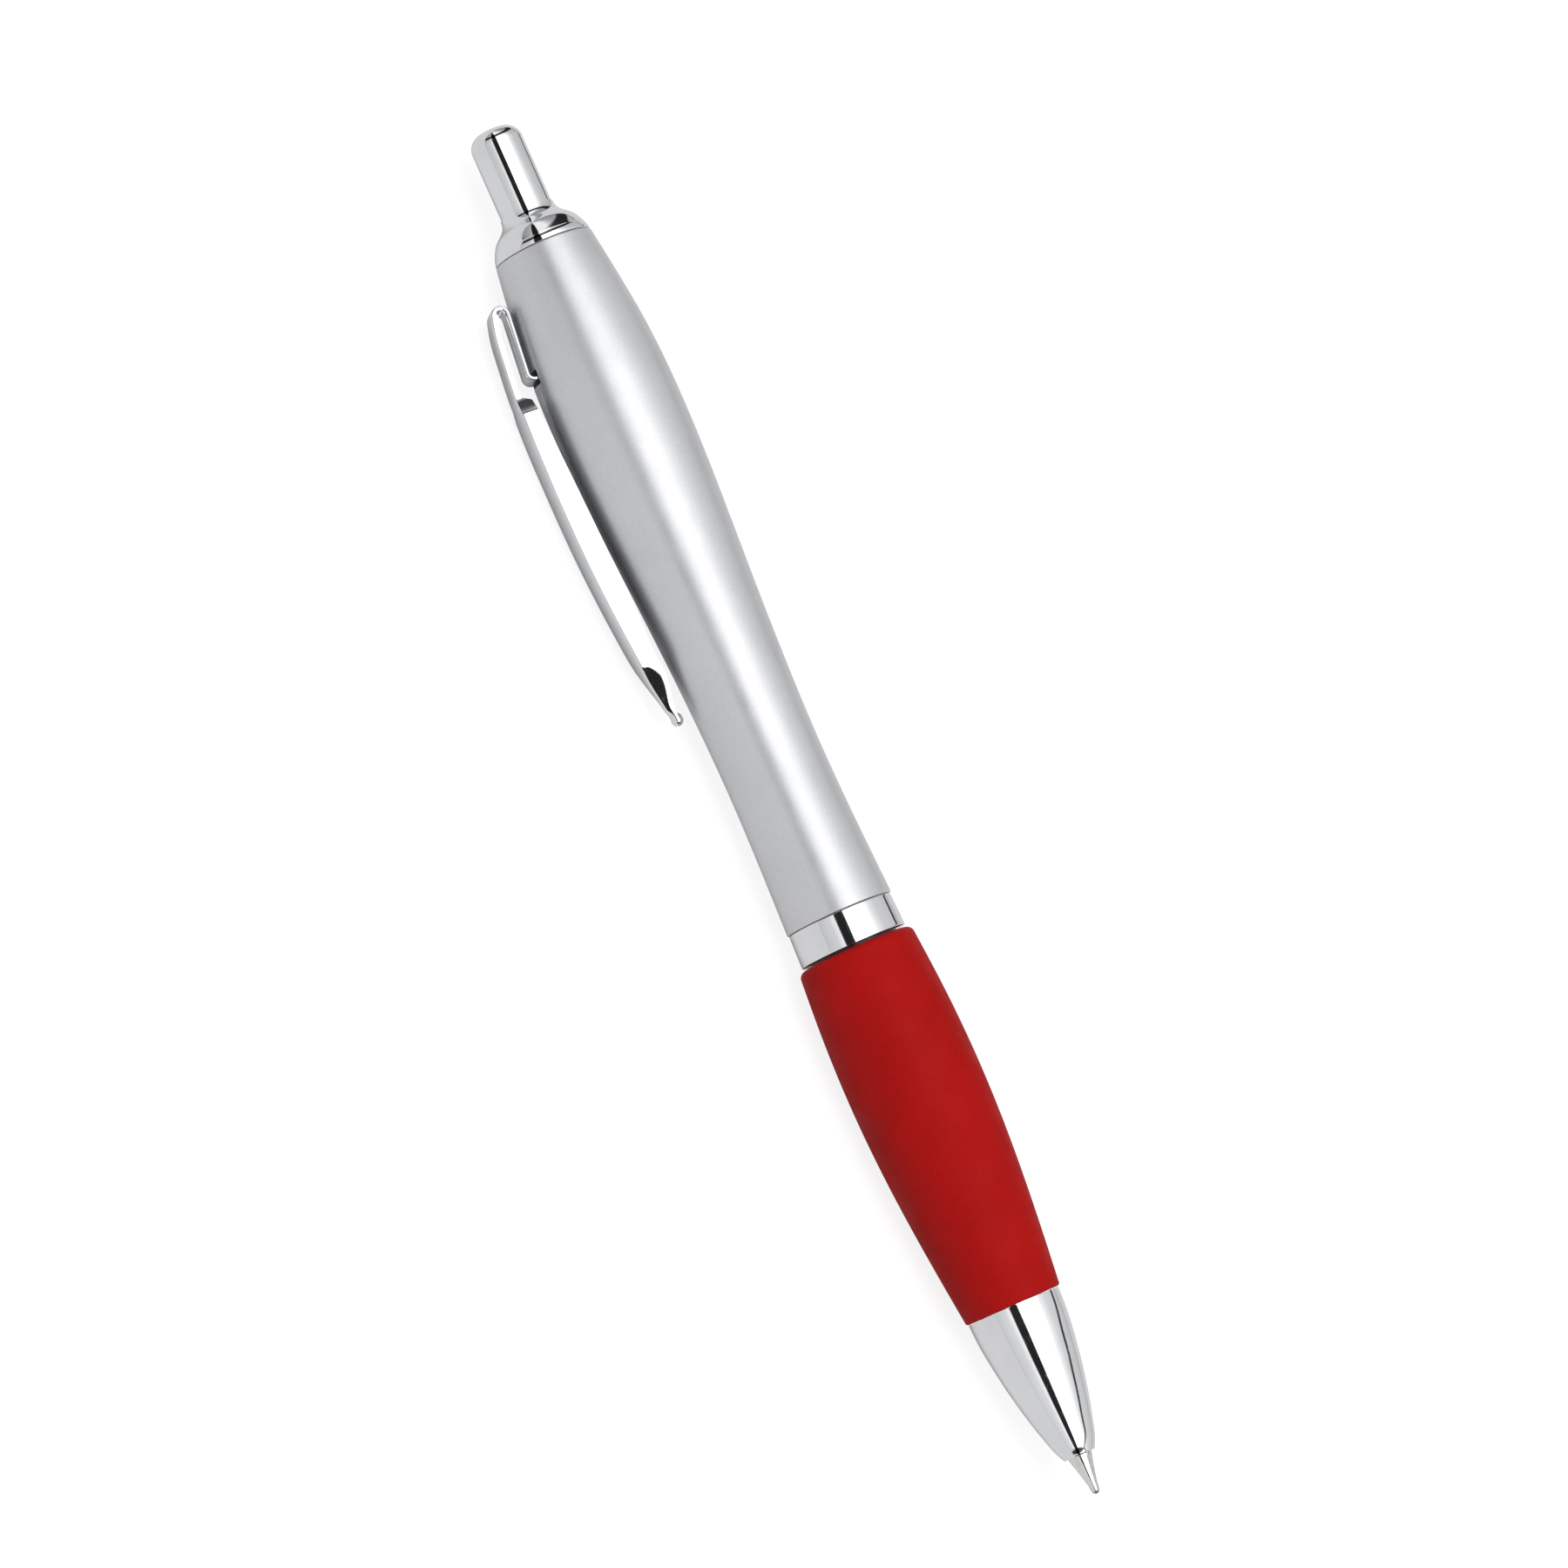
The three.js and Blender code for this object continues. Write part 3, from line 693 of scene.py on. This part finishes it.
class Look:
    """A procedural finish, with textures measured in millimetres of the piece's own frame."""

    def __init__(self, name, color, roughness, **settings):
        self.material = bpy.data.materials.new(name)
        self.material.use_nodes = True
        self.nodes = self.material.node_tree.nodes
        self.links = self.material.node_tree.links
        self.surface = self.nodes["Principled BSDF"]
        self.surface.inputs["Base Color"].default_value = (*color, 1)
        self.surface.inputs["Roughness"].default_value = roughness
        for socket, value in settings.items():
            self.surface.inputs[socket.replace("_", " ")].default_value = value
        self.color = color
        place = self.nodes.new("ShaderNodeTexCoord")
        self.place = place.outputs["Object"]
        self.height = None

    def mapped(self, stretch):
        mapping = self.nodes.new("ShaderNodeMapping")
        mapping.inputs["Scale"].default_value = [value / MM for value in stretch]
        self.links.new(self.place, mapping.inputs["Vector"])
        return mapping.outputs["Vector"]

    def noise(self, per_mm, stretch=(1, 1, 1), detail=3):
        texture = self.nodes.new("ShaderNodeTexNoise")
        texture.inputs["Scale"].default_value = per_mm
        texture.inputs["Detail"].default_value = detail
        self.links.new(self.mapped(stretch), texture.inputs["Vector"])
        return texture.outputs["Fac"]

    def cells(self, per_mm):
        """A different shade for each tiny cell, between 0 and 1."""
        texture = self.nodes.new("ShaderNodeTexVoronoi")
        texture.inputs["Scale"].default_value = per_mm
        self.links.new(self.mapped((1, 1, 1)), texture.inputs["Vector"])
        split = self.nodes.new("ShaderNodeSeparateColor")
        self.links.new(texture.outputs["Color"], split.inputs["Color"])
        return split.outputs["Red"]

    def spread(self, value, low, high, start=0.3, end=0.7):
        """A texture's value stretched from start..end to low..high."""
        ramp = self.nodes.new("ShaderNodeMapRange")
        ramp.inputs["From Min"].default_value = start
        ramp.inputs["From Max"].default_value = end
        ramp.inputs["To Min"].default_value = low
        ramp.inputs["To Max"].default_value = high
        self.links.new(value, ramp.inputs["Value"])
        return ramp.outputs["Result"]

    def sum(self, first, second):
        add = self.nodes.new("ShaderNodeMath")
        self.links.new(first, add.inputs[0])
        self.links.new(second, add.inputs[1])
        return add.outputs["Value"]

    def tint(self, value, low, high):
        """The base colour times a shade between low and high."""
        mix = self.nodes.new("ShaderNodeMix")
        mix.data_type = "RGBA"
        mix.inputs["A"].default_value = (*[c * low for c in self.color], 1)
        mix.inputs["B"].default_value = (*[min(c * high, 1) for c in self.color], 1)
        self.links.new(value, mix.inputs["Factor"])
        self.links.new(mix.outputs["Result"], self.surface.inputs["Base Color"])

    def rough(self, value):
        self.links.new(value, self.surface.inputs["Roughness"])

    def bump(self, value, depth, strength=1.0):
        """Adds relief of a depth in mm."""
        relief = self.nodes.new("ShaderNodeBump")
        relief.inputs["Strength"].default_value = strength
        relief.inputs["Distance"].default_value = depth * MM
        self.links.new(value, relief.inputs["Height"])
        if self.height:
            self.links.new(self.height, relief.inputs["Normal"])
        self.height = relief.outputs["Normal"]
        self.links.new(self.height, self.surface.inputs["Normal"])

    def hairlines(self, low, high, stretch=(0.25, 6, 6), start=0.62, end=0.68):
        """Sparse fine scratches, as a value that is low between them and high on them."""
        return self.spread(self.noise(1, stretch, detail=5), low, high, start, end)


def chrome_plate():
    """Bright plating: faint haze, fine polishing lines round the pen and a few hairline scratches."""
    look = Look("chrome_plate", (0.86, 0.868, 0.88), 0.05, Metallic=1.0)
    look.tint(look.spread(look.noise(0.35), 0, 1), 0.965, 1.03)
    worn = look.spread(look.noise(0.8), 0.035, 0.075)
    look.rough(look.sum(worn, look.hairlines(0, 0.09)))
    look.bump(look.noise(1.6, (6, 0.5, 0.5)), 0.0012)
    look.bump(look.noise(0.12), 0.02)
    return look.material


def clip_steel():
    """Plated sheet: like the chrome, with the drawing lines of the sheet along the clip."""
    look = Look("clip_steel", (0.84, 0.85, 0.865), 0.06, Metallic=1.0)
    look.tint(look.spread(look.noise(0.5), 0, 1), 0.96, 1.03)
    worn = look.spread(look.noise(0.9), 0.04, 0.085)
    look.rough(look.sum(worn, look.hairlines(0, 0.08)))
    look.bump(look.noise(1.5, (0.3, 5, 5)), 0.0012)
    return look.material


def satin_silver():
    """Silver lacquer: metal flakes under a satin surface."""
    look = Look("satin_silver", (0.71, 0.718, 0.73), 0.37, Metallic=0.8)
    flakes = look.cells(14)
    cloud = look.spread(look.noise(0.12), -0.18, 0.18)
    look.tint(look.sum(look.spread(flakes, 0.2, 0.8, 0, 1), cloud), 0.92, 1.08)
    worn = look.spread(look.noise(0.5), 0.34, 0.4)
    look.rough(look.sum(worn, look.hairlines(0, -0.03)))
    look.bump(flakes, 0.004)
    look.bump(look.noise(5), 0.004)
    return look.material


def red_rubber():
    """Soft-touch rubber: matte with a fine moulded grain and slightly polished high spots."""
    look = Look("red_rubber", (0.42, 0.006, 0.005), 0.6)
    look.surface.inputs["Specular IOR Level"].default_value = 0.12
    look.tint(look.spread(look.sum(look.noise(0.18), look.noise(4)), 0, 1, 0.7, 1.3), 0.9, 1.1)
    look.rough(look.spread(look.noise(0.4), 0.54, 0.68))
    look.bump(look.noise(9, detail=4), 0.03, 0.5)
    look.bump(look.noise(1.1), 0.02, 0.5)
    return look.material


def moulded(name, color, roughness, gloss_change=0.08):
    """Moulded plastic: faint flow marks, an uneven sheen and a fine grain."""
    look = Look(name, color, roughness)
    look.tint(look.spread(look.noise(0.3, (0.4, 1, 1)), 0, 1), 0.93, 1.05)
    look.rough(look.spread(look.noise(0.7), roughness - gloss_change, roughness + gloss_change))
    look.bump(look.noise(6), 0.006, 0.6)
    return look.material


def turned_metal(name, color, roughness):
    """Small turned or drawn metal: lathe lines round the pen and slight tarnish."""
    look = Look(name, color, roughness, Metallic=1.0)
    look.tint(look.spread(look.noise(0.9), 0, 1), 0.9, 1.05)
    look.rough(look.spread(look.noise(2.2), roughness - 0.05, roughness + 0.08))
    look.bump(look.noise(3, (8, 0.5, 0.5)), 0.003)
    return look.material


MATERIALS = {
    "chrome_plate": chrome_plate(),
    "clip_steel": clip_steel(),
    "satin_silver": satin_silver(),
    "red_rubber": red_rubber(),
    "black_plastic": moulded("black_plastic", (0.02, 0.02, 0.022), 0.32),
    "white_acetal": moulded("white_acetal", (0.8, 0.8, 0.77), 0.42),
    "grey_acetal": moulded("grey_acetal", (0.6, 0.6, 0.58), 0.42),
    "spring_steel": turned_metal("spring_steel", (0.6, 0.61, 0.62), 0.24),
    "refill_plastic": moulded("refill_plastic", (0.75, 0.78, 0.8), 0.22),
    "ink": moulded("ink", (0.02, 0.03, 0.16), 0.15, 0.04),
    "grease": moulded("grease", (0.75, 0.7, 0.5), 0.18, 0.05),
    "brass": turned_metal("brass", (0.7, 0.55, 0.28), 0.25),
    "nickel_silver": turned_metal("nickel_silver", (0.82, 0.81, 0.78), 0.14),
    "ball_steel": turned_metal("ball_steel", (0.4, 0.41, 0.43), 0.14),
}

# ---- staging ----

FRAME_WIDTH = 0.1466  # how much the camera sees at the pen
DISTANCE = 0.62
AIM_UP, AIM_RIGHT = 0.0135, -0.0043  # from the pen's middle, as shares of the frame's width
TURN_TO_CLIP = radians(13)
LEAN_TO_POINT = radians(5)
PEN_SLOPE = radians(66.02)


def node_of(tree, kind, inputs=(), **settings):
    """A new node with its settings, and each input set or linked to an output."""
    made = tree.nodes.new(kind)
    for key, value in settings.items():
        setattr(made, key, value)
    for socket, value in dict(inputs).items():
        if isinstance(value, bpy.types.NodeSocket):
            tree.links.new(value, made.inputs[socket])
        else:
            made.inputs[socket].default_value = value
    return made


TABLE_SHADE = (0.21, 0.23)  # how much light it returns to the camera
TABLE_GLOW = 0.87  # added for the camera
DIM_TABLE = (0.62, 0.62, 0.625, 1)  # as every other ray sees it
MIRRORED_GLOW = 0.11  # added in reflections


def floor():
    """A plain pale table, bright enough to look white to the camera and greyer to every other ray,
    as a small sheet of paper in a wide dim room would be."""
    bpy.ops.mesh.primitive_plane_add(size=3)
    table = bpy.context.object
    table.name = "table_top"
    look = bpy.data.materials.new("table_top")
    look.use_nodes = True
    tree = look.node_tree
    tree.nodes.clear()
    ray = node_of(tree, "ShaderNodeLightPath")
    place = node_of(tree, "ShaderNodeTexCoord")
    grain = node_of(tree, "ShaderNodeTexNoise", {"Vector": place.outputs["Object"], "Scale": 300})
    shade = node_of(tree, "ShaderNodeMapRange", {
        "Value": grain.outputs["Fac"], "To Min": TABLE_SHADE[0], "To Max": TABLE_SHADE[1],
    })
    plain = node_of(tree, "ShaderNodeBsdfDiffuse", {"Color": shade.outputs["Result"]})
    glow = node_of(tree, "ShaderNodeEmission", {"Strength": TABLE_GLOW})
    lit = node_of(tree, "ShaderNodeAddShader", {0: plain.outputs[0], 1: glow.outputs[0]})
    dim = node_of(tree, "ShaderNodeBsdfDiffuse", {"Color": DIM_TABLE})
    gleam = node_of(tree, "ShaderNodeEmission", {"Strength": MIRRORED_GLOW})
    mirrored = node_of(tree, "ShaderNodeAddShader", {0: dim.outputs[0], 1: gleam.outputs[0]})
    unseen = node_of(tree, "ShaderNodeMixShader", {
        0: ray.outputs["Is Glossy Ray"], 1: dim.outputs[0], 2: mirrored.outputs[0],
    })
    seen = node_of(tree, "ShaderNodeMixShader", {
        0: ray.outputs["Is Camera Ray"], 1: unseen.outputs[0], 2: lit.outputs[0],
    })
    out = node_of(tree, "ShaderNodeOutputMaterial", {"Surface": seen.outputs[0]})
    out.is_active_output = True
    table.data.materials.append(look)
    return table


# Brightness of the surroundings by the angle up from the table's far side, in degrees.
LIGHT_TENT = [
    (0, 0.5), (14, 0.62), (50, 0.74), (66, 1), (80, 1.5), (88, 1.9), (122.5, 1.9),
    (124, 0.02), (143, 0.02), (144.5, 1.05), (150, 0.95), (156, 0.78), (180, 0.66),
]
DIFFUSE_SHARE = 0.45  # how much of the surroundings' light matt surfaces receive
# The surroundings' ends, by how far a direction points along the pen, from -1 to 1: a black
# edge and grey cloth behind the push button, and black past the point.
ENDS = [
    (-1, 0.5), (-0.83, 0.5), (-0.8, 0.03), (-0.64, 0.03), (-0.62, 0.75), (-0.4, 0.8),
    (0, 1), (0.74, 1), (0.78, 0.03), (1, 0.03),
]
EDGE_TURN = 19  # angle of a thin dark edge on the far side, in degrees at the pen's middle
EDGE_SLANT = 75  # how much higher it is for directions along the pen
EDGE_WIDTH = 9


def ramp_of(tree, value, first, last, stops):
    """A colour ramp of grey levels, stated by values between first and last."""
    share = node_of(tree, "ShaderNodeMapRange", {
        "Value": value, "From Min": first, "From Max": last,
    })
    ramp = node_of(tree, "ShaderNodeValToRGB", {0: share.outputs[0]})
    elements = ramp.color_ramp.elements
    for _ in stops[1:-1]:
        elements.new(0.5)
    for element, (place, level) in zip(elements, stops):
        element.position = (place - first) / (last - first)
        element.color = (level, level, level * 1.01, 1)
    return ramp.outputs["Color"]


def arithmetic(tree, operation, first, second=0.0):
    made = node_of(tree, "ShaderNodeMath", {0: first, 1: second}, operation=operation)
    return made.outputs[0]


def light_tent():
    """Surroundings that run along the pen: a broad white panel above, a narrow black gap beside it
    and grey cloth down to the table. The camera itself sees plain white, and matt surfaces are
    lit mostly by the lamp."""
    world = bpy.data.worlds.new("light_tent")
    bpy.context.scene.world = world
    world.use_nodes = True
    tree = world.node_tree
    tree.nodes.clear()
    place = node_of(tree, "ShaderNodeTexCoord")
    split = node_of(tree, "ShaderNodeSeparateXYZ", {0: place.outputs["Generated"]})
    turn = arithmetic(tree, "ARCTAN2", split.outputs["Z"], split.outputs["Y"])
    angle = arithmetic(tree, "MULTIPLY", turn, 180 / pi)
    around = ramp_of(tree, angle, 0, 180, LIGHT_TENT)
    ends = ramp_of(tree, split.outputs["X"], -1, 1, ENDS)
    slant = arithmetic(tree, "MULTIPLY", split.outputs["X"], EDGE_SLANT)
    from_edge = arithmetic(tree, "SUBTRACT", angle, arithmetic(tree, "ADD", slant, EDGE_TURN))
    edge = node_of(tree, "ShaderNodeMapRange", {
        "Value": arithmetic(tree, "ABSOLUTE", from_edge), "From Min": 0.3 * EDGE_WIDTH,
        "From Max": 0.5 * EDGE_WIDTH, "To Min": 0.06, "To Max": 1.0,
    })
    ray = node_of(tree, "ShaderNodeLightPath")
    less = node_of(tree, "ShaderNodeMapRange", {
        "Value": ray.outputs["Is Diffuse Ray"], "To Min": 1.0, "To Max": DIFFUSE_SHARE,
    })
    strength = arithmetic(tree, "MULTIPLY", arithmetic(tree, "MULTIPLY", ends, edge.outputs[0]),
                          less.outputs[0])
    tent = node_of(tree, "ShaderNodeBackground", {"Color": around, "Strength": strength})
    plain = node_of(tree, "ShaderNodeBackground", {"Color": (1, 1, 1, 1), "Strength": 1})
    seen = node_of(tree, "ShaderNodeMixShader", {
        0: ray.outputs["Is Camera Ray"], 1: tent.outputs[0], 2: plain.outputs[0],
    })
    node_of(tree, "ShaderNodeOutputWorld", {"Surface": seen.outputs[0]})


LAMP_SIZE = (1.2, 0.5)
LAMP_DISTANCE = 0.9
LAMP_TURN = radians(105)  # up from the table's far side
LAMP_POWER = 5.5


def soft_light():
    """One long soft panel over the pen, to the right of the camera. Its mirror image is the white
    panel of the surroundings, so reflections don't show the lamp itself."""
    data = bpy.data.lights.new("soft_panel", "AREA")
    data.shape = "RECTANGLE"
    data.size, data.size_y = LAMP_SIZE
    data.energy = LAMP_POWER
    lamp = bpy.data.objects.new("soft_panel", data)
    direction = Vector((0, cos(LAMP_TURN), sin(LAMP_TURN)))
    lamp.location = axis_point + LAMP_DISTANCE * direction
    lamp.rotation_euler = direction.to_track_quat("Z", "Y").to_euler()
    lamp.visible_glossy = False
    bpy.context.scene.collection.objects.link(lamp)
    return lamp


def camera():
    """A long lens from the front, turned so that the pen leans down to the right."""
    flat = cos(TURN_TO_CLIP) * SIDEWAYS + sin(TURN_TO_CLIP) * OUTWARD
    back = cos(LEAN_TO_POINT) * flat + sin(LEAN_TO_POINT) * ALONG
    along = (ALONG - ALONG.dot(back) * back).normalized()
    beside = back.cross(along)
    right = cos(PEN_SLOPE) * along + sin(PEN_SLOPE) * beside
    up = cos(PEN_SLOPE) * beside - sin(PEN_SLOPE) * along
    data = bpy.data.cameras.new("camera")
    data.lens = data.sensor_width * DISTANCE / FRAME_WIDTH
    data.clip_start, data.clip_end = 0.01, 10
    made = bpy.data.objects.new("camera", data)
    target = axis_point + FRAME_WIDTH * (AIM_UP * up + AIM_RIGHT * right)
    made.matrix_world = Matrix.Translation(target + DISTANCE * back) @ Matrix(
        (right, up, back)
    ).transposed().to_4x4()
    bpy.context.scene.collection.objects.link(made)
    bpy.context.scene.camera = made
    return made


# ---- putting it together ----

forms = [
    push_button(), top_collar(), upper_barrel(), middle_ring(), front_tube(), grip_sleeve(),
    nose_cone(), point_tip(), writing_ball(), return_spring(), clip_blade(), clip_tongue(),
]
for form in forms:
    form.data.materials.append(MATERIALS[form["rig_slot"]])
for node, cad in frame["nodes"].items():
    cad.data.materials.clear()
    cad.data.materials.append(MATERIALS[slots[node]])

floor()
light_tent()
soft_light()
camera()
bpy.context.scene.view_settings.view_transform = "Standard"
